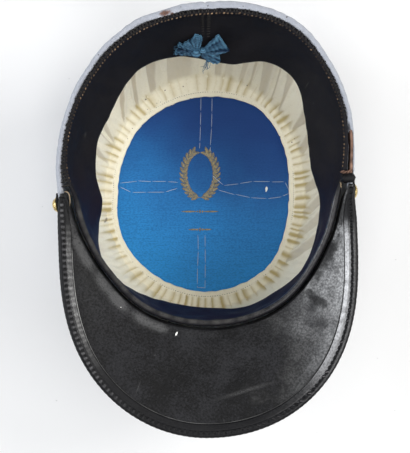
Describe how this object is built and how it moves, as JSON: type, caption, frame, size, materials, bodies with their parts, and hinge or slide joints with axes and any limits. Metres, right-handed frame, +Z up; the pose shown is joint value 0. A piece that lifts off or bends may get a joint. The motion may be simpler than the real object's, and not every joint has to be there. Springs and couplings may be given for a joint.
{
  "type": "kepi",
  "caption": "Cloth kepi with a leather peak, lying upside down on its crown, its open hollow showing a leather sweatband, gathered silk lining, satin crown disc and ribbon bow.",
  "frame": {"origin": "middle of the crown's flat top, which lies on the ground because the kepi is upside down", "axes": "+Z up, out of the head opening; -Y towards the peak; +X to the right in the picture"},
  "size_m": [0.1824, 0.255, 0.1163],
  "materials": {
    "cloth": "pale grey-blue fulled wool, slightly fuzzy",
    "buckram": "raw tan buckram edge",
    "sweatband_leather": "smooth black leather with a navy tint",
    "silk": "soft sheen of cream silk",
    "satin": "blue ribbed satin",
    "peak_leather": "pebbled black leather, worn glossy",
    "gilt": "rubbed gilt brass",
    "ribbon": "steel-blue ribbon, frayed"
  },
  "bodies": {
    "root": {"crown_top": "cloth", "crown_side": "cloth", "band": "cloth", "stiffener": "buckram", "sweatband": "sweatband_leather", "lining": "silk", "crown_lining": "satin", "peak": "peak_leather", "peak_binding": "peak_leather", "chin_strap": "peak_leather", "button_left": "gilt", "button_right": "gilt", "ribbon_bow": "ribbon"}
  },
  "joints": []
}
